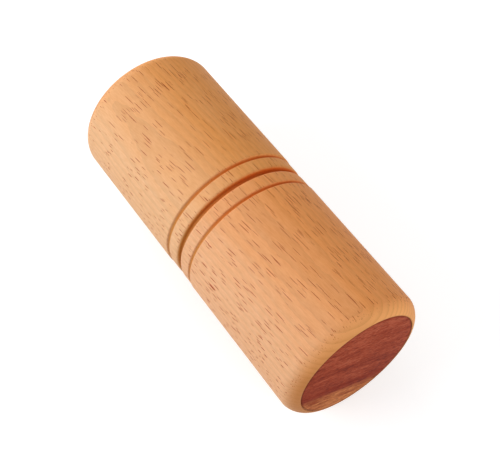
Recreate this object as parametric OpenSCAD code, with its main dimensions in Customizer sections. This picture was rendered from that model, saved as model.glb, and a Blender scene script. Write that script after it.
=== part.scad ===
// Double shaker: two turned beech cups, each closed by a hardwood disc and holding loose grains.
// The cups plug together end to end. The axis lies along X, the joint face is at X = 0,
// and the shaker lies on Z = 0 with its middle at the origin.

/* [Body] */
// Outside diameter of the turned body
body_d = 55; // [50:0.5:70]
// Length of each half, from the joint face to its outer end
half_len = 67.5; // [60:0.5:100]
// Wall round each sound chamber
wall_t = 6.5; // [5:0.1:8]
// Wood left between the joint and each sound chamber
floor_t = 5; // [3:0.1:8]
// Radius of the rounding at each outer end
end_round_r = 6.3; // [5:0.1:8]

/* [Bands] */
// Distance from the joint to each side groove
band_pitch = 6.8; // [5:0.1:12]
// How far the bands lie below the body
band_drop = 0.25; // [0.1:0.05:0.6]
// Radius of the round bed of the groove at the joint
joint_bed_r = 0.7; // [0.5:0.05:1]
// Depth of the groove at the joint
joint_groove_depth = 1.8; // [1.4:0.1:2.2]
// Rounding of the edges of the groove at the joint
joint_edge_r = 1.3; // [0.8:0.05:1.6]
// Radius of the round bed of each side groove
side_bed_r = 0.7; // [0.5:0.05:1]
// Depth of each side groove
side_groove_depth = 0.65; // [0.5:0.05:0.9]
// Rounding of the edges of each side groove
side_edge_r = 0.5; // [0.3:0.05:0.8]

/* [End discs] */
// Thickness of each end disc
disc_t = 5; // [3:0.1:8]
// Width of the ledge that each end disc sits on
ledge_w = 2; // [1.5:0.1:3]
// Bare wood left round each end disc
rim_w = 0.4; // [0.2:0.05:0.8]
// Chamfer on the edge of each end disc
disc_chamfer = 0.3; // [0.1:0.05:0.6]

/* [Joint] */
// Diameter of the spigot
spigot_d = 24; // [20:0.5:30]
// Length of the spigot
spigot_len = 7; // [6:0.1:10]
// Chamfer on the spigot's tip and round the socket's mouth
lead_in = 0.8; // [0.3:0.1:1.2]
// Thickness of the rubber ring
ring_d = 2.4; // [1.6:0.1:3]
// Diameter of each magnet
magnet_d = 12; // [8:0.5:14]
// Thickness of each magnet
magnet_t = 3; // [2:0.1:4]

/* [Filling] */
// Diameter of the coarse grains
deep_grain_d = 5; // [3:0.1:6]
// Rows of coarse grains along the chamber
deep_rows = 6; // [2:1:7]
// Coarse grains across the chamber
deep_columns = 7; // [3:1:7]
// Diameter of the fine grains
bright_grain_d = 3.5; // [2.5:0.1:4.5]
// Rows of fine grains along the chamber
bright_rows = 7; // [2:1:8]
// Fine grains across the chamber
bright_columns = 9; // [3:1:9]

/* [Clearances] */
// Glue line round each disc and magnet
glue_gap = 0.05; // [0.02:0.01:0.1]
// Gap between the faces of the two halves
face_gap = 0.05; // [0.02:0.01:0.2]
// Gap all round the spigot in its socket
spigot_gap = 0.3; // [0.2:0.05:0.5]
// Gap between the spigot's tip and the socket's floor
tip_gap = 0.4; // [0.2:0.05:1]
// Gap round the rubber ring
ring_gap = 0.05; // [0.02:0.01:0.1]
// How far each magnet lies below the wood round it
magnet_inset = 0.2; // [0.1:0.05:0.5]
// Gap from a grain to the wall and to the next grain
grain_gap = 0.25; // [0.1:0.05:0.5]

/* [Hidden] */
$fn = 128;
grain_fn = 32;
over = 1;

body_r = body_d / 2;
band_r = body_r - band_drop;
chamber_r = body_r - wall_t;
disc_r = chamber_r + ledge_w;
seat_r = disc_r + glue_gap;
seat_z = half_len - disc_t;

// The end rounding stops at the rim, or turns a full quarter where the wall leaves room for it.
round_depth = min(end_round_r, body_r - seat_r - rim_w);
round_len = end_round_r * sin(acos(1 - round_depth / end_round_r));

spigot_r = spigot_d / 2;
socket_r = spigot_r + spigot_gap;
socket_z = spigot_len + tip_gap;
magnet_r = magnet_d / 2;
magnet_seat_r = magnet_r + glue_gap;
magnet_seat_depth = magnet_inset + magnet_t + glue_gap;

// The ring just clears the socket, and its groove just clears the ring.
ring_r = socket_r - ring_gap - ring_d / 2;
ring_groove_r = ring_r - ring_d / 2 - ring_gap;
ring_groove_w = ring_d + 2 * ring_gap;
ring_z = -spigot_len / 2;

// Where each chamber starts, measured from the joint along its own half.
deep_floor_z = floor_t;
bright_floor_z = socket_z + magnet_seat_depth + floor_t;

// Sets a half that is drawn up the Z axis on the axis of the shaker, pointing to +X.
module deep_side() {
    translate([0, 0, body_r])
        rotate([0, 90, 0])
            children();
}

// The same, pointing to -X.
module bright_side() {
    mirror([1, 0, 0])
        deep_side()
            children();
}

// Profile of a groove, centred on the X axis, whose round bed runs smoothly into its rounded edges.
// sides holds the radius of the surface before and after the groove.
module groove_profile(bed_r, depth, edge_r, sides) {
    bed_centre = min(sides) - depth + bed_r;
    translate([bed_centre, 0])
        circle(r = bed_r);
    for (side = [0, 1]) {
        way = side == 0 ? -1 : 1;
        // With a smaller rounding the edge would overhang the bed.
        round_r = max(edge_r, sides[side] - bed_centre);
        edge_centre = sides[side] - round_r;
        reach = sqrt(pow(bed_r + round_r, 2) - pow(bed_centre - edge_centre, 2));
        difference() {
            polygon([
                [bed_centre, 0], [edge_centre, way * reach],
                [body_r + over, way * reach], [body_r + over, 0]
            ]);
            translate([edge_centre, way * reach])
                circle(r = round_r);
        }
    }
}

// Profile of what the rounding takes off the outer corner of a cup.
module end_round_profile() {
    difference() {
        translate([body_r - end_round_r, half_len - round_len])
            square([end_round_r + over, round_len + over]);
        translate([body_r - end_round_r, half_len - round_len])
            circle(r = end_round_r);
    }
}

// Profile of a cup from its joint face to its outer end, with its chamber and its disc seat.
module cup_profile(face_z, chamber_z) {
    difference() {
        translate([0, face_z])
            square([body_r, half_len - face_z]);
        translate([band_r, -over])
            square([body_r, band_pitch + over]);
        groove_profile(joint_bed_r, joint_groove_depth, joint_edge_r, [band_r, band_r]);
        translate([0, band_pitch])
            groove_profile(side_bed_r, side_groove_depth, side_edge_r, [band_r, body_r]);
        end_round_profile();
        translate([-over, chamber_z])
            square([chamber_r + over, half_len]);
        translate([-over, seat_z])
            square([seat_r + over, half_len]);
    }
}

// Profile of the spigot, with its chamfered tip, ring groove and magnet seat.
module spigot_profile() {
    difference() {
        polygon([
            [0, over], [spigot_r, over], [spigot_r, lead_in - spigot_len],
            [spigot_r - lead_in, -spigot_len], [0, -spigot_len]
        ]);
        translate([ring_groove_r, ring_z - ring_groove_w / 2])
            square([spigot_r, ring_groove_w]);
        translate([-over, -spigot_len - over])
            square([magnet_seat_r + over, magnet_seat_depth + over]);
    }
}

// Profile of the socket, with its chamfered mouth and magnet seat.
module socket_profile() {
    polygon([
        [-over, -over], [socket_r + lead_in + over, -over], [socket_r, lead_in],
        [socket_r, socket_z], [-over, socket_z]
    ]);
    translate([-over, -over])
        square([magnet_seat_r + over, socket_z + magnet_seat_depth + over]);
}

module end_disc() {
    translate([0, 0, seat_z])
        rotate_extrude()
            polygon([
                [0, 0], [disc_r, 0], [disc_r, disc_t - disc_chamfer],
                [disc_r - disc_chamfer, disc_t], [0, disc_t]
            ]);
}

// Grains in staggered rows on the low side of a chamber, in the middle of its length.
module filling(grain_d, rows, columns, chamber_z) {
    pitch = grain_d + grain_gap;
    lie_r = chamber_r - grain_gap - grain_d / 2;
    step = 2 * asin(pitch / 2 / lie_r);
    row_pitch = pitch * sin(60);
    middle_z = (chamber_z + seat_z) / 2;
    for (row = [0 : rows - 1]) {
        count = columns - row % 2;
        for (column = [0 : count - 1])
            rotate([0, 0, (column - (count - 1) / 2) * step])
                translate([lie_r, 0, middle_z + (row - (rows - 1) / 2) * row_pitch])
                    sphere(d = grain_d, $fn = grain_fn);
    }
}

module deep_shell() {
    color("burlywood")
        deep_side()
            union() {
                rotate_extrude()
                    cup_profile(0, deep_floor_z);
                rotate_extrude()
                    spigot_profile();
            }
}

module deep_end_disc() {
    color("sienna")
        deep_side()
            end_disc();
}

module deep_magnet() {
    color("silver")
        deep_side()
            translate([0, 0, magnet_inset - spigot_len])
                cylinder(h = magnet_t, r = magnet_r);
}

module deep_filling() {
    color("steelblue")
        deep_side()
            filling(deep_grain_d, deep_rows, deep_columns, deep_floor_z);
}

module joint_ring() {
    color("dimgray")
        deep_side()
            translate([0, 0, ring_z])
                rotate_extrude()
                    translate([ring_r, 0])
                        circle(d = ring_d);
}

module bright_shell() {
    color("burlywood")
        bright_side()
            rotate_extrude()
                difference() {
                    cup_profile(face_gap, bright_floor_z);
                    socket_profile();
                }
}

module bright_end_disc() {
    color("sienna")
        bright_side()
            end_disc();
}

module bright_magnet() {
    color("silver")
        bright_side()
            translate([0, 0, socket_z + magnet_inset])
                cylinder(h = magnet_t, r = magnet_r);
}

module bright_filling() {
    color("lightsteelblue")
        bright_side()
            filling(bright_grain_d, bright_rows, bright_columns, bright_floor_z);
}

deep_shell();
deep_end_disc();
deep_magnet();
deep_filling();
joint_ring();
bright_shell();
bright_end_disc();
bright_magnet();
bright_filling();
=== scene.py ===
# Double shaker of turned beech with red hardwood ends, lying on a white floor.
# The pieces come in the order in which the shaker is put together.
from math import acos, asin, cos, pi, radians, sin, tan

import bmesh
import bpy
from mathutils import Matrix, Vector


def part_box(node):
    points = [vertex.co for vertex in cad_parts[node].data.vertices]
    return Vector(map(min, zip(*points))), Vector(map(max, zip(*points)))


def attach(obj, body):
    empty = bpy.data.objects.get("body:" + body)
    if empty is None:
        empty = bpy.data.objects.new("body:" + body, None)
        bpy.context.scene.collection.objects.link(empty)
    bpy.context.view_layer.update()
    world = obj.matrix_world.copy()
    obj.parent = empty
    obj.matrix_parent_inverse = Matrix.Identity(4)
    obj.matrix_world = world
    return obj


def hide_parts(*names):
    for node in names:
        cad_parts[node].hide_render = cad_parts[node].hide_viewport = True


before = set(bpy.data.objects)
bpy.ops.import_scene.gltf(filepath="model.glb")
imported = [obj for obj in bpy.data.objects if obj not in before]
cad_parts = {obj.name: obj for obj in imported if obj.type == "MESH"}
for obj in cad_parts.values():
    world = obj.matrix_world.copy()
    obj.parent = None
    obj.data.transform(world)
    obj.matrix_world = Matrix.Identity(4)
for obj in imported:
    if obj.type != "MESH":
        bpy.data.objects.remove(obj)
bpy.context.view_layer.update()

# The two beech cups
# Each half of the shaker is one piece of steamed beech, turned on a lathe, bored from its outer end,
# sanded and oiled. The deep half carries a spigot, and the bright half has the socket that takes it.
MM = 0.001

shell_low, shell_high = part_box("deep_shell")
disc_low, disc_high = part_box("deep_end_disc")
magnet_low, magnet_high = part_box("deep_magnet")
far_magnet_low, far_magnet_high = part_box("bright_magnet")
ring_low, ring_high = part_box("joint_ring")
far_shell_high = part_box("bright_shell")[1]

AXIS_Z = (shell_low.z + shell_high.z) / 2
BODY_R = (shell_high.z - shell_low.z) / 2
HALF_LEN = shell_high.x
FACE_GAP = -far_shell_high.x
GLUE_GAP = 0.05 * MM

WALL = 6.5 * MM
CHAMBER_FLOOR = 5 * MM
CHAMBER_R = BODY_R - WALL
SEAT_X = disc_low.x
SEAT_R = (disc_high.z - disc_low.z) / 2 + GLUE_GAP
RIM_W = 0.4 * MM
# How far the glue stains the wood round a disc
GLUE_STAIN = 0.45 * MM

SPIGOT_TIP = shell_low.x
SPIGOT_R = 12 * MM
SPIGOT_GAP = 0.3 * MM
SOCKET_R = SPIGOT_R + SPIGOT_GAP
LEAD_IN = 0.8 * MM
RING_GAP = 0.05 * MM
RING_THICK = ring_high.x - ring_low.x
RING_GROOVE_R = (ring_high.z - ring_low.z) / 2 - RING_THICK - RING_GAP
RING_GROOVE_ENDS = (ring_low.x - RING_GAP, ring_high.x + RING_GAP)
MAGNET_INSET = 0.2 * MM
MAGNET_SEAT_R = (magnet_high.z - magnet_low.z) / 2 + GLUE_GAP
MAGNET_FLOOR = magnet_high.x + GLUE_GAP
FAR_MAGNET_FLOOR = -far_magnet_low.x + GLUE_GAP
SOCKET_FLOOR = -far_magnet_high.x - MAGNET_INSET
DEEP_FLOOR = CHAMBER_FLOOR
BRIGHT_FLOOR = FAR_MAGNET_FLOOR + CHAMBER_FLOOR

BAND_PITCH = 6.8 * MM
BAND_DROP = 0.25 * MM
BAND_R = BODY_R - BAND_DROP
JOINT_BED_R = 0.7 * MM
JOINT_GROOVE_DEPTH = 1.8 * MM
JOINT_GROOVE_FLOOR = BAND_R - JOINT_GROOVE_DEPTH
JOINT_EDGE_R = 1.3 * MM
SIDE_BED_R = 0.7 * MM
SIDE_GROOVE_DEPTH = 0.65 * MM
SIDE_GROOVE_FLOOR = BAND_R - SIDE_GROOVE_DEPTH
SIDE_EDGE_R = 0.5 * MM
# The bed and the edge of a groove meet on its flank, so each rounding stops a little short of the other.
BED_SHARE = 0.9
EDGE_SHARE = 0.98

# The end rounding is an arc that leaves the side smoothly and stops at the rim.
END_ROUND_R = 6.3 * MM
end_turn = acos(1 - (BODY_R - SEAT_R - RIM_W) / END_ROUND_R)
END_TANGENT = END_ROUND_R * tan(end_turn / 2)
END_CORNER = HALF_LEN - END_ROUND_R * sin(end_turn) + END_TANGENT

# Steps once round the shaker, and in each kind of rounding
TURN_STEPS = 320
ROUND_STEPS = 6
EDGE_STEPS = 10
END_STEPS = 14
FINE_STEPS = 2
FINE_EDGE = 0.12 * MM
# A corner's rounding and its steps: left sharp, or with a fine rounded edge
SHARP = (0, 1)
FINE = (FINE_EDGE, FINE_STEPS)

# Points closer than this become one, and edges that turn by more than this stay crisp.
WELD = 0.001 * MM
CRISP_TURN = radians(35)


def make_piece(name, bm, node, body):
    """Makes a bmesh a smooth piece that stands for a CAD node and moves with a body."""
    bmesh.ops.remove_doubles(bm, verts=bm.verts, dist=WELD)
    bmesh.ops.recalc_face_normals(bm, faces=bm.faces)
    for face in bm.faces:
        face.smooth = True
    mesh = bpy.data.meshes.new(name)
    bm.to_mesh(mesh)
    bm.free()
    mesh.set_sharp_from_angle(angle=CRISP_TURN)
    piece = bpy.data.objects.new(name, mesh)
    bpy.context.scene.collection.objects.link(piece)
    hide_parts(node)
    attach(piece, body)
    return piece


def spin_round(bm):
    """Spins all that is drawn once round the shaker's axis."""
    bmesh.ops.spin(bm, geom=bm.verts[:] + bm.edges[:], cent=(0, 0, AXIS_Z), axis=(1, 0, 0),
                   angle=2 * pi, steps=TURN_STEPS, use_merge=True)


def turned(corners):
    """A solid turned about the shaker's axis. Each corner is (x, radius, rounding, steps of the rounding)."""
    bm = bmesh.new()
    verts = [bm.verts.new((x, 0, AXIS_Z + radius)) for x, radius, *_ in corners]
    for first, second in zip(verts, verts[1:]):
        bm.edges.new((first, second))
    for vert, (*_, rounding, steps) in zip(verts, corners):
        if rounding:
            bmesh.ops.bevel(bm, geom=[vert], offset=rounding, offset_type="OFFSET", segments=steps,
                            profile=0.5, affect="VERTICES", material=-1)
    spin_round(bm)
    return bm


def groove_side(centre, way, floor, surface, bed_r, edge_r):
    """Corners of one side of a groove, from its floor up: its round bed runs smoothly into a rounded edge."""
    slope = acos((floor + bed_r - surface + edge_r) / (bed_r + edge_r))
    reach = (bed_r + edge_r) * sin(slope)
    bed = bed_r * tan(slope / 2)
    edge = edge_r * tan(slope / 2)
    return [(centre + way * bed, floor, BED_SHARE * bed, ROUND_STEPS),
            (centre + way * (reach - edge), surface, EDGE_SHARE * edge, EDGE_STEPS)]


def cup_side(way, face):
    """Corners of a cup's outside from its joint face to the ledge under its disc; way is 1 or -1 along X."""
    corners = [(face, JOINT_GROOVE_FLOOR, *SHARP)]
    corners += groove_side(0, 1, JOINT_GROOVE_FLOOR, BAND_R, JOINT_BED_R, JOINT_EDGE_R)
    corners += groove_side(BAND_PITCH, -1, SIDE_GROOVE_FLOOR, BAND_R, SIDE_BED_R, SIDE_EDGE_R)[::-1]
    corners += groove_side(BAND_PITCH, 1, SIDE_GROOVE_FLOOR, BODY_R, SIDE_BED_R, SIDE_EDGE_R)
    corners += [
        (END_CORNER, BODY_R, END_TANGENT - FINE_EDGE, END_STEPS),
        (HALF_LEN, SEAT_R + RIM_W, FINE_EDGE / 2, FINE_STEPS),
        (HALF_LEN, SEAT_R, *FINE),
        (SEAT_X, SEAT_R, *SHARP),
        (SEAT_X, CHAMBER_R, *FINE),
    ]
    return [(way * x, *rest) for x, *rest in corners]


deep_cup = make_piece("deep_cup", turned([
    (MAGNET_FLOOR, 0, *SHARP),
    (MAGNET_FLOOR, MAGNET_SEAT_R, *SHARP),
    (SPIGOT_TIP, MAGNET_SEAT_R, *FINE),
    (SPIGOT_TIP, SPIGOT_R - LEAD_IN, *FINE),
    (SPIGOT_TIP + LEAD_IN, SPIGOT_R, *FINE),
    (RING_GROOVE_ENDS[0], SPIGOT_R, *FINE),
    (RING_GROOVE_ENDS[0], RING_GROOVE_R, *SHARP),
    (RING_GROOVE_ENDS[1], RING_GROOVE_R, *SHARP),
    (RING_GROOVE_ENDS[1], SPIGOT_R, *FINE),
    (0, SPIGOT_R, *SHARP),
] + cup_side(1, 0) + [
    (DEEP_FLOOR, CHAMBER_R, *SHARP),
    (DEEP_FLOOR, 0, *SHARP),
]), "deep_shell", "deep_half")

bright_cup = make_piece("bright_cup", turned([
    (-FAR_MAGNET_FLOOR, 0, *SHARP),
    (-FAR_MAGNET_FLOOR, MAGNET_SEAT_R, *SHARP),
    (-SOCKET_FLOOR, MAGNET_SEAT_R, *FINE),
    (-SOCKET_FLOOR, SOCKET_R, *SHARP),
    (-LEAD_IN, SOCKET_R, *FINE),
    (-FACE_GAP, SOCKET_R + LEAD_IN, *FINE),
] + cup_side(-1, FACE_GAP) + [
    (-BRIGHT_FLOOR, CHAMBER_R, *SHARP),
    (-BRIGHT_FLOOR, 0, *SHARP),
]), "bright_shell", "bright_half")


def linear(colour):
    """An sRGB hex colour as the linear RGBA that shaders take."""
    parts = [int(colour[i:i + 2], 16) / 255 for i in (1, 3, 5)]
    return [c / 12.92 if c <= 0.04045 else ((c + 0.055) / 1.055) ** 2.4 for c in parts] + [1]


def add(tree, kind, inputs, **settings):
    """Adds a node of that kind. Each input takes a value, or the output socket that feeds it."""
    made = tree.nodes.new(kind)
    for name, value in settings.items():
        setattr(made, name, value)
    for name, value in inputs.items():
        if isinstance(value, bpy.types.NodeSocket):
            tree.links.new(value, made.inputs[name])
        else:
            made.inputs[name].default_value = value
    return made


def new_material(name):
    """An empty node material: its tree and its surface shader, already joined to the output."""
    material = bpy.data.materials.new(name)
    material.use_nodes = True
    tree = material.node_tree
    return material, tree, tree.nodes["Principled BSDF"]


def millimetres(tree, origin=(0, 0, 0)):
    """Where on a piece a point lies, in millimetres from an origin that is given in metres."""
    place = add(tree, "ShaderNodeTexCoord", {})
    return add(tree, "ShaderNodeMapping", {
        "Vector": place.outputs["Object"], "Location": [-part / MM for part in origin],
        "Scale": (1 / MM,) * 3}).outputs["Vector"]


def from_axis(tree, on_axis):
    """The distance from the shaker's axis."""
    across = add(tree, "ShaderNodeVectorMath", {0: on_axis, 1: (0, 1, 1)}, operation="MULTIPLY")
    return add(tree, "ShaderNodeVectorMath", {
        0: across.outputs["Vector"]}, operation="LENGTH").outputs["Value"]


# The middle of a Noise node's values, and the two values that nearly all lie between
NOISE_MIDDLE = 0.5
NOISE_LOW = 0.3
NOISE_HIGH = 0.7


def stretched(tree, source, sizes):
    """Coordinates in which one unit is so many mm along X, Y and Z."""
    return add(tree, "ShaderNodeMapping", {
        "Vector": source, "Scale": [1 / size for size in sizes]}).outputs["Vector"]


def wandering(tree, source, sizes, reach):
    """Coordinates of a grain that isn't quite straight: it strays within reach, in waves of those sizes."""
    waves = add(tree, "ShaderNodeTexNoise", {
        "Vector": stretched(tree, source, sizes), "Scale": 1, "Detail": 1})
    centred = add(tree, "ShaderNodeVectorMath", {
        0: waves.outputs["Color"], 1: (NOISE_MIDDLE,) * 3}, operation="SUBTRACT")
    return add(tree, "ShaderNodeVectorMath", {
        0: centred.outputs["Vector"], 1: reach, 2: source}, operation="MULTIPLY_ADD").outputs["Vector"]


# The year rings lie round a pith above the axis, and the grain leans a little off the axis.
HEART_TURN = radians(-5)
GRAIN_LEAN = radians(5)
PITH_AWAY_MM = 60
YEAR_RING_MM = 2.2
# The part of a year after which a ring darkens, on the side and in end grain, and its first and last tone
RING_FROM = 0.4
END_RING_FROM = 0.5
RING_TONES = (1.02, 0.93)
# Length of a wave of the Wave node at a scale of 1
WAVE_LENGTH = pi / 10
# The wood is redder and darker up and to the right, partly its own tone and partly painted shade on the side
# away from the key lamp, and the change is patchy.
RED_SHADED_SIDE_TURN = radians(40)
TO_RED_SHADED_SIDE = (0, sin(RED_SHADED_SIDE_TURN), cos(RED_SHADED_SIDE_TURN))
PALE_UNTIL_MM = -5
RED_FROM_MM = 26
PATCH_REACH_MM = 16
# Sizes of the patterns in mm: down the grain, round the rings and across them. The fibres are drawn coarser
# than real ones so that they show. A ray fills about a third of the length and width of its cell.
BEECH_WAVES = (50, 16, 16)
BEECH_WAVE_REACH = (0, 2.5, 2.5)
BEECH_PATCHES = (40, 7, 7)
BEECH_FIBRES = (3, 0.35, 0.35)
RAY_CELLS = ((16, 0.5, 1.1), (12, 0.4, 0.8))
RAY_EDGE = (0.2, 0.17)
FAINTEST_RAY = 0.8
# How far the surface has to face along the grain to show end grain, first at all and then in full
END_GRAIN_FACING = (0.15, 0.9)
END_RING_AMOUNT = 0.28
# How deep below the bands a groove is fully browned and shaded, and how much of the browning and painted
# shade covers the wood
BROWNED_AND_SHADED_DEPTH = 0.7 * MM
BROWNED_AND_SHADED_AMOUNT = 0.85
BELOW_GROOVES = 0.1 * MM
GLUE_AMOUNT = 0.55
FIBRE_RELIEF = 0.08 * MM
BEECH_ROUGHNESS = (0.48, 0.6)


def beech(name, shift, pale, red, fleck_share):
    """Oiled steamed beech with its grain along X: a pale ground that turns redder and darker to one side,
    partly its own tone and partly painted shade, faint year rings, short dark ray flecks, ochre end grain,
    and grooves browned by the turning tool and darkened by painted shade. shift is the place in the tree in
    mm, pale and red are the ground's colours, and fleck_share is how many of the cells hold a ray."""
    material, tree, surface = new_material(name)
    on_axis = millimetres(tree, (0, 0, AXIS_Z))
    # Turned so that Z points to the heart of the tree, with the grain a little off the axis
    leaning = add(tree, "ShaderNodeMapping", {
        "Vector": on_axis, "Rotation": (HEART_TURN, 0, -GRAIN_LEAN), "Location": shift})
    grain = wandering(tree, leaning.outputs["Vector"], BEECH_WAVES, BEECH_WAVE_REACH)

    # The wood is redder and darker to one side, with soft patches: partly its own tone, partly painted shade
    # on the side away from the key lamp.
    patches = add(tree, "ShaderNodeTexNoise", {
        "Vector": stretched(tree, grain, BEECH_PATCHES), "Scale": 1, "Detail": 2, "Roughness": 0.5})
    to_red_shaded_side = add(tree, "ShaderNodeVectorMath", {0: on_axis, 1: TO_RED_SHADED_SIDE}, operation="DOT_PRODUCT")
    patchy = add(tree, "ShaderNodeMath", {
        0: patches.outputs["Fac"], 1: PATCH_REACH_MM, 2: to_red_shaded_side.outputs["Value"]}, operation="MULTIPLY_ADD")
    redness_and_painted_shade = add(tree, "ShaderNodeMapRange", {
        "Value": patchy.outputs["Value"], "From Min": PALE_UNTIL_MM + PATCH_REACH_MM * NOISE_MIDDLE,
        "From Max": RED_FROM_MM + PATCH_REACH_MM * NOISE_MIDDLE}).outputs["Result"]
    ground = add(tree, "ShaderNodeMix", {
        "Factor": redness_and_painted_shade, "A": linear(pale), "B": linear(red)}, data_type="RGBA")

    # Year rings, darker at the end of each year
    from_pith = add(tree, "ShaderNodeMapping", {"Vector": grain, "Location": (0, 0, -PITH_AWAY_MM)})
    rings = add(tree, "ShaderNodeTexWave", {
        "Vector": from_pith.outputs["Vector"], "Scale": WAVE_LENGTH / YEAR_RING_MM, "Distortion": 1.5,
        "Detail": 2, "Detail Scale": 1}, wave_type="RINGS", rings_direction="X", wave_profile="SAW")
    ring_tone = add(tree, "ShaderNodeMapRange", {
        "Value": rings.outputs["Fac"], "From Min": RING_FROM, "From Max": 1,
        "To Min": RING_TONES[0], "To Max": RING_TONES[1]})
    ringed = add(tree, "ShaderNodeMix", {
        "Factor": 1, "A": ground.outputs["Result"], "B": ring_tone.outputs["Result"]},
        data_type="RGBA", blend_type="MULTIPLY")

    # Fine fibres, a little darker and lighter
    fibres = add(tree, "ShaderNodeTexNoise", {
        "Vector": stretched(tree, grain, BEECH_FIBRES), "Scale": 1, "Detail": 2, "Roughness": 0.6})
    fibre_depth = add(tree, "ShaderNodeMapRange", {
        "Value": fibres.outputs["Fac"], "From Min": NOISE_LOW, "From Max": NOISE_HIGH})
    toned = add(tree, "ShaderNodeMix", {
        "Factor": fibre_depth.outputs["Result"], "A": ringed.outputs["Result"], "B": linear("#F4ECE2")},
        data_type="RGBA", blend_type="MULTIPLY")

    # Ray flecks: ribbons, thin round the rings, that the turned side cuts into short dashes
    fleck_masks = []
    for cell in RAY_CELLS:
        cells = add(tree, "ShaderNodeTexVoronoi", {"Vector": stretched(tree, grain, cell), "Scale": 1})
        chance = add(tree, "ShaderNodeSeparateColor", {"Color": cells.outputs["Color"]}).outputs["Red"]
        strength = add(tree, "ShaderNodeMapRange", {
            "Value": chance, "From Min": 1 - fleck_share, "From Max": 1, "To Min": FAINTEST_RAY, "To Max": 1})
        picked = add(tree, "ShaderNodeMath", {0: chance, 1: 1 - fleck_share}, operation="GREATER_THAN")
        spindle = add(tree, "ShaderNodeMapRange", {
            "Value": cells.outputs["Distance"], "From Min": RAY_EDGE[0], "From Max": RAY_EDGE[1]},
            interpolation_type="SMOOTHSTEP")
        drawn = add(tree, "ShaderNodeMath", {
            0: picked.outputs["Value"], 1: spindle.outputs["Result"]}, operation="MULTIPLY")
        mask = add(tree, "ShaderNodeMath", {
            0: strength.outputs["Result"], 1: drawn.outputs["Value"]}, operation="MULTIPLY")
        fleck_masks.append(mask.outputs["Value"])
    flecks = add(tree, "ShaderNodeMath", {0: fleck_masks[0], 1: fleck_masks[1]}, operation="MAXIMUM")
    # Rays are darker in the redder wood, which partly carries painted shade.
    fleck_colour = add(tree, "ShaderNodeMix", {
        "Factor": redness_and_painted_shade, "A": linear("#A83000"), "B": linear("#8A2000")}, data_type="RGBA")
    flecked = add(tree, "ShaderNodeMix", {
        "Factor": flecks.outputs["Value"], "A": toned.outputs["Result"],
        "B": fleck_colour.outputs["Result"]}, data_type="RGBA")

    # The turned bands and grooves in the middle of the shaker
    radius = from_axis(tree, on_axis)
    outside = add(tree, "ShaderNodeMath", {
        0: radius, 1: (JOINT_GROOVE_FLOOR - BELOW_GROOVES) / MM}, operation="GREATER_THAN")
    along = add(tree, "ShaderNodeSeparateXYZ", {"Vector": on_axis})
    from_joint = add(tree, "ShaderNodeMath", {0: along.outputs["X"]}, operation="ABSOLUTE").outputs["Value"]
    near_joint = add(tree, "ShaderNodeMath", {
        0: from_joint, 1: (BAND_PITCH + SIDE_BED_R + SIDE_EDGE_R) / MM}, operation="LESS_THAN")
    in_bands = add(tree, "ShaderNodeMath", {
        0: outside.outputs["Value"], 1: near_joint.outputs["Value"]}, operation="MULTIPLY").outputs["Value"]

    # End grain drinks more oil: it is ochre, without flecks, and its rings show as fine darker lines.
    place = add(tree, "ShaderNodeTexCoord", {})
    facing = add(tree, "ShaderNodeSeparateXYZ", {"Vector": place.outputs["Normal"]})
    end_on = add(tree, "ShaderNodeMath", {0: facing.outputs["X"]}, operation="ABSOLUTE")
    end_amount = add(tree, "ShaderNodeMapRange", {
        "Value": end_on.outputs["Value"], "From Min": END_GRAIN_FACING[0], "From Max": END_GRAIN_FACING[1]},
        interpolation_type="SMOOTHSTEP")
    end_shown = add(tree, "ShaderNodeMath", {
        0: end_amount.outputs["Result"], 1: in_bands}, operation="SUBTRACT", use_clamp=True)
    # End grain is much lighter on the redder side: partly its own tone, partly painted light.
    end_ground = add(tree, "ShaderNodeMix", {
        "Factor": redness_and_painted_shade, "A": linear("#C9854C"), "B": linear("#FBB06B")}, data_type="RGBA")
    end_rings = add(tree, "ShaderNodeMapRange", {
        "Value": rings.outputs["Fac"], "From Min": END_RING_FROM, "From Max": 1, "To Max": END_RING_AMOUNT})
    end_wood = add(tree, "ShaderNodeMix", {
        "Factor": end_rings.outputs["Result"], "A": end_ground.outputs["Result"], "B": linear("#B87434")},
        data_type="RGBA")
    ended = add(tree, "ShaderNodeMix", {
        "Factor": end_shown.outputs["Value"], "A": flecked.outputs["Result"],
        "B": end_wood.outputs["Result"]}, data_type="RGBA")

    # Grooves browned by the tool and darkened by painted shade: the deeper below the bands, the browner and
    # darker
    browning_and_shade = add(tree, "ShaderNodeMapRange", {
        "Value": radius, "From Min": BAND_R / MM, "From Max": (BAND_R - BROWNED_AND_SHADED_DEPTH) / MM,
        "To Max": BROWNED_AND_SHADED_AMOUNT}, interpolation_type="SMOOTHSTEP")
    browned_and_shaded = add(tree, "ShaderNodeMath", {0: browning_and_shade.outputs["Result"], 1: in_bands}, operation="MULTIPLY")
    groove_brown_and_shade = add(tree, "ShaderNodeMix", {
        "Factor": redness_and_painted_shade, "A": linear("#C58030"), "B": linear("#D25800")}, data_type="RGBA")
    grooved = add(tree, "ShaderNodeMix", {
        "Factor": browned_and_shaded.outputs["Value"], "A": ended.outputs["Result"],
        "B": groove_brown_and_shade.outputs["Result"]}, data_type="RGBA")

    # A thin line of glue darkens the wood round the end disc.
    near_disc = add(tree, "ShaderNodeMapRange", {
        "Value": radius, "From Min": SEAT_R / MM, "From Max": (SEAT_R + GLUE_STAIN) / MM,
        "To Min": GLUE_AMOUNT, "To Max": 0})
    past_seat = add(tree, "ShaderNodeMath", {0: from_joint, 1: SEAT_X / MM}, operation="GREATER_THAN")
    glued = add(tree, "ShaderNodeMath", {
        0: near_disc.outputs["Result"], 1: past_seat.outputs["Value"]}, operation="MULTIPLY")
    finished = add(tree, "ShaderNodeMix", {
        "Factor": glued.outputs["Value"], "A": grooved.outputs["Result"], "B": linear("#8C4620")},
        data_type="RGBA")
    tree.links.new(finished.outputs["Result"], surface.inputs["Base Color"])

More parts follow.
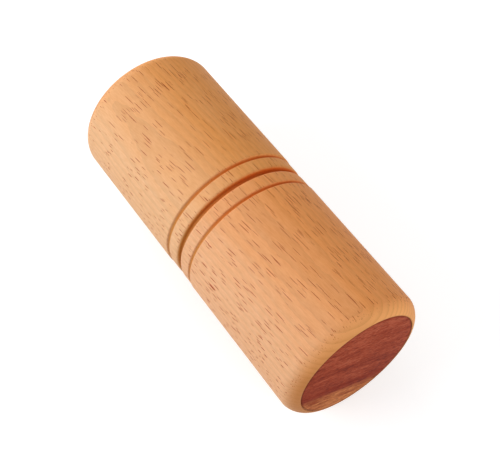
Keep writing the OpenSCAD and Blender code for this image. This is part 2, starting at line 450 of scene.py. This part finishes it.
    # Sanded wood: its fibres stand up a little. The oil has sunk in, so it hardly shines.
    bump = add(tree, "ShaderNodeBump", {
        "Strength": 0.25, "Distance": FIBRE_RELIEF, "Height": fibres.outputs["Fac"]})
    tree.links.new(bump.outputs["Normal"], surface.inputs["Normal"])
    sheen = add(tree, "ShaderNodeMapRange", {
        "Value": fibres.outputs["Fac"], "From Min": NOISE_LOW, "From Max": NOISE_HIGH,
        "To Min": BEECH_ROUGHNESS[0], "To Max": BEECH_ROUGHNESS[1]})
    tree.links.new(sheen.outputs["Result"], surface.inputs["Roughness"])
    surface.inputs["IOR"].default_value = 1.5
    surface.inputs["Specular IOR Level"].default_value = 0.08
    return material


deep_cup.data.materials.append(beech(
    "steamed_beech_oiled_deep", shift=(13, 4, 0), pale="#F0BA8F", red="#F2A260", fleck_share=0.65))
bright_cup.data.materials.append(beech(
    "steamed_beech_oiled_bright", shift=(-240, 31, 3), pale="#F0BF92", red="#EDA25C", fleck_share=0.5))

# The two magnets
# Small discs of sintered magnet, nickel plated, glued into the spigot's tip and the socket's floor.
# They face each other across a narrow gap and hold the halves together.
MAGNET_EDGE = 0.3 * MM
SCUFF_MM = 1.5
PRESSED_MM = 0.4
PRESSED_RELIEF = 0.03 * MM


def magnet(name, node, body):
    """A flat disc with rounded edges, in place of its CAD node."""
    low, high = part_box(node)
    radius = (high.z - low.z) / 2
    return make_piece(name, turned([
        (low.x, 0, *SHARP),
        (low.x, radius, MAGNET_EDGE, ROUND_STEPS),
        (high.x, radius, MAGNET_EDGE, ROUND_STEPS),
        (high.x, 0, *SHARP),
    ]), node, body)


def mottle(tree, surface, noise, colours, roughness):
    """Gives a surface two colours and two values of roughness, the first of each where the noise is low."""
    tone = add(tree, "ShaderNodeMix", {
        "Factor": noise.outputs["Fac"], "A": linear(colours[0]), "B": linear(colours[1])}, data_type="RGBA")
    tree.links.new(tone.outputs["Result"], surface.inputs["Base Color"])
    rubbed = add(tree, "ShaderNodeMapRange", {
        "Value": noise.outputs["Fac"], "From Min": NOISE_LOW, "From Max": NOISE_HIGH,
        "To Min": roughness[0], "To Max": roughness[1]})
    tree.links.new(rubbed.outputs["Result"], surface.inputs["Roughness"])


def nickel_plate(name):
    """Bright nickel plating: a warm grey mirror, dulled in soft scuffs, over a faintly uneven ground."""
    material, tree, surface = new_material(name)
    place = millimetres(tree)
    scuffs = add(tree, "ShaderNodeTexNoise", {
        "Vector": place, "Scale": 1 / SCUFF_MM, "Detail": 4, "Roughness": 0.65})
    mottle(tree, surface, scuffs, ("#B9B5AB", "#D6D3CB"), (0.34, 0.14))
    pressed = add(tree, "ShaderNodeTexNoise", {"Vector": place, "Scale": 1 / PRESSED_MM, "Detail": 1})
    bump = add(tree, "ShaderNodeBump", {
        "Strength": 0.15, "Distance": PRESSED_RELIEF, "Height": pressed.outputs["Fac"]})
    tree.links.new(bump.outputs["Normal"], surface.inputs["Normal"])
    surface.inputs["Metallic"].default_value = 1
    return material


nickel = nickel_plate("nickel_plate")
for magnet_piece in (magnet("deep_holding_magnet", "deep_magnet", "deep_half"),
                     magnet("bright_holding_magnet", "bright_magnet", "bright_half")):
    magnet_piece.data.materials.append(nickel)

# The joint ring
# A black nitrile ring of round section, moulded, stretched into the spigot's groove.
# It gives the joint its snug fit and lets one half turn on the other.
RING_SECTION_STEPS = 32
BLOOM_MM = 3
# The skin is drawn coarser than a real one so that it shows.
SKIN_MM = 0.2
SKIN_RELIEF = 0.03 * MM

ring_bm = bmesh.new()
bmesh.ops.create_circle(
    ring_bm, segments=RING_SECTION_STEPS, radius=RING_THICK / 2,
    matrix=Matrix.Translation(((ring_low.x + ring_high.x) / 2, 0, ring_high.z - RING_THICK / 2))
    @ Matrix.Rotation(pi / 2, 4, "X"))
spin_round(ring_bm)
ring = make_piece("nitrile_ring", ring_bm, "joint_ring", "ring")


def nitrile(name):
    """Moulded nitrile rubber: a dull black with a faint grey bloom and a fine skin."""
    material, tree, surface = new_material(name)
    place = millimetres(tree)
    bloom = add(tree, "ShaderNodeTexNoise", {
        "Vector": place, "Scale": 1 / BLOOM_MM, "Detail": 4, "Roughness": 0.6})
    mottle(tree, surface, bloom, ("#161617", "#343435"), (0.45, 0.65))
    skin = add(tree, "ShaderNodeTexNoise", {"Vector": place, "Scale": 1 / SKIN_MM, "Detail": 2})
    bump = add(tree, "ShaderNodeBump", {
        "Strength": 0.2, "Distance": SKIN_RELIEF, "Height": skin.outputs["Fac"]})
    tree.links.new(bump.outputs["Normal"], surface.inputs["Normal"])
    surface.inputs["IOR"].default_value = 1.52
    return material


ring.data.materials.append(nitrile("black_nitrile"))

# The grains
# Coarse glass beads lie loose in the deep half and fine steel shot in the bright half. They make the sound.
# At rest they lie in staggered rows along the lowest line of each chamber.
COARSE_D = 5 * MM
FINE_D = 3.5 * MM
GRAIN_GAP = 0.25 * MM
# Rows of nesting balls lie closer together than the balls of one row.
NESTING = sin(radians(60))
BALL_SUBDIVISIONS = 3
TUMBLED_MM = 0.8
KNOCK_MM = 0.5


def grains(name, way, size, rows, columns, floor, node, body):
    """Loose balls at rest in a chamber, in place of their CAD node; way is 1 or -1 along X."""
    pitch = size + GRAIN_GAP
    lie_r = CHAMBER_R - GRAIN_GAP - size / 2
    step = 2 * asin(pitch / 2 / lie_r)
    bm = bmesh.new()
    for row in range(rows):
        count = columns - row % 2
        x = way * ((floor + SEAT_X) / 2 + (row - (rows - 1) / 2) * pitch * NESTING)
        for column in range(count):
            turn = (column - (count - 1) / 2) * step
            bmesh.ops.create_icosphere(
                bm, subdivisions=BALL_SUBDIVISIONS, radius=size / 2,
                matrix=Matrix.Translation((x, lie_r * sin(turn), AXIS_Z - lie_r * cos(turn))))
    return make_piece(name, bm, node, body)


def bead_glass(name):
    """Clear soda-lime glass, tumbled: faintly green, with a skin that is not quite smooth."""
    material, tree, surface = new_material(name)
    tumbled = add(tree, "ShaderNodeTexNoise", {
        "Vector": millimetres(tree), "Scale": 1 / TUMBLED_MM, "Detail": 3})
    mottle(tree, surface, tumbled, ("#D9E6E2", "#F1F6F4"), (0.04, 0.2))
    surface.inputs["IOR"].default_value = 1.52
    surface.inputs["Transmission Weight"].default_value = 1
    return material


def shot_steel(name):
    """Steel shot, tumbled bright: mid grey balls with small dull marks from knocking together."""
    material, tree, surface = new_material(name)
    marks = add(tree, "ShaderNodeTexNoise", {
        "Vector": millimetres(tree), "Scale": 1 / KNOCK_MM, "Detail": 3, "Roughness": 0.7})
    mottle(tree, surface, marks, ("#7D7C7A", "#AEADAA"), (0.45, 0.22))
    surface.inputs["Metallic"].default_value = 1
    return material


coarse = grains("glass_beads", 1, size=COARSE_D, rows=6, columns=7, floor=DEEP_FLOOR,
                node="deep_filling", body="deep_grains")
coarse.data.materials.append(bead_glass("soda_lime_glass"))
fine = grains("steel_shot", -1, size=FINE_D, rows=7, columns=9, floor=BRIGHT_FLOOR,
              node="bright_filling", body="bright_grains")
fine.data.materials.append(shot_steel("tumbled_steel"))

# The end discs
# A red-brown tropical hardwood, sawn along the grain into thin discs, glued flush into the cups and oiled.
# A strip of pale sapwood runs along one edge of each disc.
DISC_CHAMFER = 0.3 * MM
# The grain runs across the disc at this turn, and the other lengths are measured over it from the middle.
GRAIN_TURN = radians(-25.5)
SAPWOOD_EDGE_MM = -13.8
SAPWOOD_FADE_MM = 1.8
SAPWOOD_RAGGED_MM = 1.6
STRIPE_AWAY_MM = 3.4
STRIPE_FADE_MM = 2
STRIPE_AMOUNT = 0.55
DARKER_PER_MM = 0.004
# Sizes of the patterns in mm: over the grain, down it and over it. Pores and fibres are drawn coarser than
# real ones so that they show.
HARDWOOD_WAVES = (12, 30, 12)
HARDWOOD_WAVE_REACH = (0, 0, 1.6)
HARDWOOD_STRIPES = (2.4, 20, 2.4)
HARDWOOD_FIBRES = (0.5, 2, 0.5)
PORE_CELLS = (0.45, 2.6, 0.45)
PORE_EDGE = (0.5, 0.15)
PORE_SHARE = 0.7
PORE_AMOUNT = 0.85
PORE_RELIEF = 0.1 * MM
# Shades of the stripes at which the heartwood has its dark, middle and light tone, and how much the felted
# fibres add to a shade
DARK_SHADE, MIDDLE_SHADE, LIGHT_SHADE = 0.32, 0.5, 0.7
FELT = 0.5
# Shades between which the sapwood goes from dark to light
SAPWOOD_SHADES = (0.38, 0.58)
DISC_GLUE_AND_SHADE_AMOUNT = 0.45


def end_disc(name, way, node, body):
    """A turned disc with a softly broken edge, in place of its CAD node; way is 1 or -1 along X."""
    low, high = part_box(node)
    outer, inner = (high.x, low.x) if way == 1 else (low.x, high.x)
    radius = (high.z - low.z) / 2
    return make_piece(name, turned([
        (outer, 0, *SHARP),
        (outer, radius - DISC_CHAMFER, *FINE),
        (outer - way * DISC_CHAMFER, radius, DISC_CHAMFER / 2, FINE_STEPS),
        (inner, radius, *SHARP),
        (inner, 0, *SHARP),
    ]), node, body)


def red_hardwood(name, shift):
    """Oiled red hardwood with its grain across the disc: dark stripes, short open pores and a sapwood strip.
    shift is the place in the tree in mm."""
    material, tree, surface = new_material(name)
    on_axis = millimetres(tree, (0, 0, AXIS_Z))
    # After this turn the grain runs along Y, and Z is measured across it.
    turned_grain = add(tree, "ShaderNodeMapping", {
        "Vector": on_axis, "Rotation": (-GRAIN_TURN, 0, 0)}).outputs["Vector"]
    over_grain = add(tree, "ShaderNodeSeparateXYZ", {"Vector": turned_grain}).outputs["Z"]
    straight = add(tree, "ShaderNodeVectorMath", {0: turned_grain, 1: shift}, operation="ADD")
    grain = wandering(tree, straight.outputs["Vector"], HARDWOOD_WAVES, HARDWOOD_WAVE_REACH)

    # The wood is striped, and darker towards the sapwood.
    stripes = add(tree, "ShaderNodeTexNoise", {
        "Vector": stretched(tree, grain, HARDWOOD_STRIPES), "Scale": 1, "Detail": 5, "Roughness": 0.85})
    shade = add(tree, "ShaderNodeMath", {
        0: over_grain, 1: DARKER_PER_MM, 2: stripes.outputs["Fac"]}, operation="MULTIPLY_ADD")
    # Short interlocked fibres break the stripes up, so that the wood looks felted.
    fibres = add(tree, "ShaderNodeTexNoise", {
        "Vector": stretched(tree, grain, HARDWOOD_FIBRES), "Scale": 1, "Detail": 2, "Roughness": 0.7})
    felted = add(tree, "ShaderNodeMath", {
        0: fibres.outputs["Fac"], 1: FELT, 2: shade.outputs["Value"]}, operation="MULTIPLY_ADD")
    heartwood = add(tree, "ShaderNodeValToRGB", {"Fac": felted.outputs["Value"]})
    felt_middle = FELT * NOISE_MIDDLE
    tones = heartwood.color_ramp.elements
    tones[0].position = DARK_SHADE + felt_middle
    tones[0].color = linear("#762A1C")
    tones[1].position = LIGHT_SHADE + felt_middle
    tones[1].color = linear("#BC6044")
    middle_tone = tones.new(MIDDLE_SHADE + felt_middle)
    middle_tone.color = linear("#9F432B")

    # The sapwood runs straight along the grain with a soft edge, and a dark stripe of heartwood lies
    # beside it.
    ragged = add(tree, "ShaderNodeMath", {
        0: stripes.outputs["Fac"], 1: SAPWOOD_RAGGED_MM, 2: over_grain}, operation="MULTIPLY_ADD")
    from_sapwood = add(tree, "ShaderNodeMath", {
        0: ragged.outputs["Value"], 1: SAPWOOD_EDGE_MM + SAPWOOD_RAGGED_MM * NOISE_MIDDLE},
        operation="SUBTRACT").outputs["Value"]
    from_stripe = add(tree, "ShaderNodeMath", {0: from_sapwood, 1: STRIPE_AWAY_MM}, operation="SUBTRACT")
    beside_stripe = add(tree, "ShaderNodeMath", {0: from_stripe.outputs["Value"]}, operation="ABSOLUTE")
    stripe_amount = add(tree, "ShaderNodeMapRange", {
        "Value": beside_stripe.outputs["Value"], "From Min": STRIPE_FADE_MM, "From Max": 0,
        "To Max": STRIPE_AMOUNT}, interpolation_type="SMOOTHSTEP")
    striped = add(tree, "ShaderNodeMix", {
        "Factor": stripe_amount.outputs["Result"], "A": heartwood.outputs["Color"], "B": linear("#7C1C04")},
        data_type="RGBA")
    sap_amount = add(tree, "ShaderNodeMapRange", {
        "Value": from_sapwood, "From Min": SAPWOOD_FADE_MM, "From Max": -SAPWOOD_FADE_MM},
        interpolation_type="SMOOTHSTEP")
    sap_streaks = add(tree, "ShaderNodeMapRange", {
        "Value": stripes.outputs["Fac"], "From Min": SAPWOOD_SHADES[0], "From Max": SAPWOOD_SHADES[1]})
    sapwood = add(tree, "ShaderNodeMix", {
        "Factor": sap_streaks.outputs["Result"], "A": linear("#984524"), "B": linear("#D98A54")},
        data_type="RGBA")
    sapped = add(tree, "ShaderNodeMix", {
        "Factor": sap_amount.outputs["Result"], "A": striped.outputs["Result"],
        "B": sapwood.outputs["Result"]}, data_type="RGBA")

    # Open pores: short dark scratches along the grain
    cells = add(tree, "ShaderNodeTexVoronoi", {"Vector": stretched(tree, grain, PORE_CELLS), "Scale": 1})
    chance = add(tree, "ShaderNodeSeparateColor", {"Color": cells.outputs["Color"]})
    strength = add(tree, "ShaderNodeMapRange", {
        "Value": chance.outputs["Red"], "From Min": 1 - PORE_SHARE, "From Max": 1, "To Max": PORE_AMOUNT})
    pore = add(tree, "ShaderNodeMapRange", {
        "Value": cells.outputs["Distance"], "From Min": PORE_EDGE[0], "From Max": PORE_EDGE[1]},
        interpolation_type="SMOOTHSTEP")
    pores = add(tree, "ShaderNodeMath", {
        0: strength.outputs["Result"], 1: pore.outputs["Result"]}, operation="MULTIPLY")
    pored = add(tree, "ShaderNodeMix", {
        "Factor": pores.outputs["Value"], "A": sapped.outputs["Result"], "B": linear("#5A1E16")},
        data_type="RGBA")

    # The glue darkens the edge of the disc too, and painted shade darkens it further where its broken edge
    # catches the light.
    glued = add(tree, "ShaderNodeMapRange", {
        "Value": from_axis(tree, on_axis), "From Min": (SEAT_R - 2 * GLUE_STAIN) / MM,
        "From Max": (SEAT_R - GLUE_STAIN / 2) / MM, "To Max": DISC_GLUE_AND_SHADE_AMOUNT})
    finished = add(tree, "ShaderNodeMix", {
        "Factor": glued.outputs["Result"], "A": pored.outputs["Result"], "B": linear("#62230F")},
        data_type="RGBA")
    tree.links.new(finished.outputs["Result"], surface.inputs["Base Color"])

    # The pores lie a little below the sanded face.
    relief = add(tree, "ShaderNodeMath", {0: 1, 1: pores.outputs["Value"]}, operation="SUBTRACT")
    bump = add(tree, "ShaderNodeBump", {
        "Strength": 0.3, "Distance": PORE_RELIEF, "Height": relief.outputs["Value"]})
    tree.links.new(bump.outputs["Normal"], surface.inputs["Normal"])
    surface.inputs["Roughness"].default_value = 0.65
    surface.inputs["IOR"].default_value = 1.5
    surface.inputs["Specular IOR Level"].default_value = 0.05
    return material


deep_disc = end_disc("deep_disc", 1, "deep_end_disc", "deep_half")
deep_disc.data.materials.append(red_hardwood("red_hardwood_oiled_deep", shift=(3, 0, 0)))
bright_disc = end_disc("bright_disc", -1, "bright_end_disc", "bright_half")
bright_disc.data.materials.append(red_hardwood("red_hardwood_oiled_bright", shift=(3, 160, 40)))

# The floor
# A plain sheet of white paper, which is not part of the shaker. It keeps the shaker's soft shadow.
FLOOR_HALF = 3.0
# Away from the shaker the lamps reach it less, so it is lifted more there and stays white. The lift changes
# from one level to the other between these distances, in metres.
LIFT_FROM, LIFT_TO = 0.3, 0.9
LIFT_NEAR, LIFT_AWAY = 0.62, 0.78

floor_bm = bmesh.new()
bmesh.ops.create_grid(floor_bm, x_segments=1, y_segments=1, size=FLOOR_HALF)
floor_mesh = bpy.data.meshes.new("floor")
floor_bm.to_mesh(floor_mesh)
floor_bm.free()
floor = bpy.data.objects.new("floor", floor_mesh)
bpy.context.scene.collection.objects.link(floor)


def seen(tree):
    """1 where the eye looks, straight or in a reflection or through glass, and 0 where light only bounces."""
    rays = add(tree, "ShaderNodeLightPath", {})
    straight = add(tree, "ShaderNodeMath", {
        0: rays.outputs["Is Camera Ray"], 1: rays.outputs["Is Glossy Ray"]}, operation="MAXIMUM")
    return add(tree, "ShaderNodeMath", {
        0: straight.outputs["Value"], 1: rays.outputs["Is Transmission Ray"]},
        operation="MAXIMUM").outputs["Value"]


floor_material, floor_tree, floor_surface = new_material("white_paper")
floor_surface.inputs["Base Color"].default_value = linear("#D0D0D0")
floor_surface.inputs["Roughness"].default_value = 0.9
floor_surface.inputs["Specular IOR Level"].default_value = 0
floor_surface.inputs["Emission Color"].default_value = linear("#FFFFFF")
floor_place = add(floor_tree, "ShaderNodeTexCoord", {})
away = add(floor_tree, "ShaderNodeVectorMath", {0: floor_place.outputs["Object"]}, operation="LENGTH")
whiter = add(floor_tree, "ShaderNodeMapRange", {
    "Value": away.outputs["Value"], "From Min": LIFT_FROM, "From Max": LIFT_TO,
    "To Min": LIFT_NEAR, "To Max": LIFT_AWAY}, interpolation_type="SMOOTHSTEP")
lift = add(floor_tree, "ShaderNodeMath", {
    0: seen(floor_tree), 1: whiter.outputs["Result"]}, operation="MULTIPLY")
floor_tree.links.new(lift.outputs["Value"], floor_surface.inputs["Emission Strength"])
floor.data.materials.append(floor_material)

# The light
# One large soft lamp to the left of the camera, weaker ones in front of the shaker and behind it,
# and an even white room.
ROOM_LEVEL = 0.39
LAMP_AWAY = 0.8

world = bpy.data.worlds.new("white_room")
bpy.context.scene.world = world
world.use_nodes = True
room_tree = world.node_tree
room = room_tree.nodes["Background"]
room.inputs["Color"].default_value = linear("#FFFFFF")
room_level = add(room_tree, "ShaderNodeMapRange", {
    "Value": seen(room_tree), "To Min": ROOM_LEVEL, "To Max": 1})
room_tree.links.new(room_level.outputs["Result"], room.inputs["Strength"])


def soft_lamp(name, direction, size, level):
    """A square lamp that faces the shaker; level 1 alone shows a white sheet that faces it as white."""
    lamp = bpy.data.lights.new(name, "AREA")
    lamp.shape = "SQUARE"
    lamp.size = size
    lamp.energy = level * (pi * LAMP_AWAY) ** 2
    holder = bpy.data.objects.new(name, lamp)
    toward = Vector(direction).normalized()
    holder.location = Vector((0, 0, AXIS_Z)) + toward * LAMP_AWAY
    holder.rotation_euler = toward.to_track_quat("Z", "Y").to_euler()
    bpy.context.scene.collection.objects.link(holder)


soft_lamp("key_lamp", direction=(-0.25, -0.75, 0.43), size=0.5, level=0.58)
soft_lamp("front_lamp", direction=(1, 0.3, 0.35), size=0.5, level=0.36)
soft_lamp("back_lamp", direction=(-0.9, 0, 0.33), size=0.3, level=0.36)

# The camera
# It stands as it did for the photograph, above one end of the shaker and to one side.
CAMERA_PLACE = Vector((182, -122, 350)) * MM
LOOKS_AT = Vector((3.05, 1.2, 26.15)) * MM
SENSOR_MM = 36
LENS_MM = 78

camera_data = bpy.data.cameras.new("camera")
camera_data.sensor_width = SENSOR_MM
camera_data.lens = LENS_MM
camera = bpy.data.objects.new("camera", camera_data)
camera.location = CAMERA_PLACE
camera.rotation_euler = (LOOKS_AT - CAMERA_PLACE).to_track_quat("-Z", "Y").to_euler()
bpy.context.scene.collection.objects.link(camera)
bpy.context.scene.camera = camera
bpy.context.scene.view_settings.view_transform = "Standard"
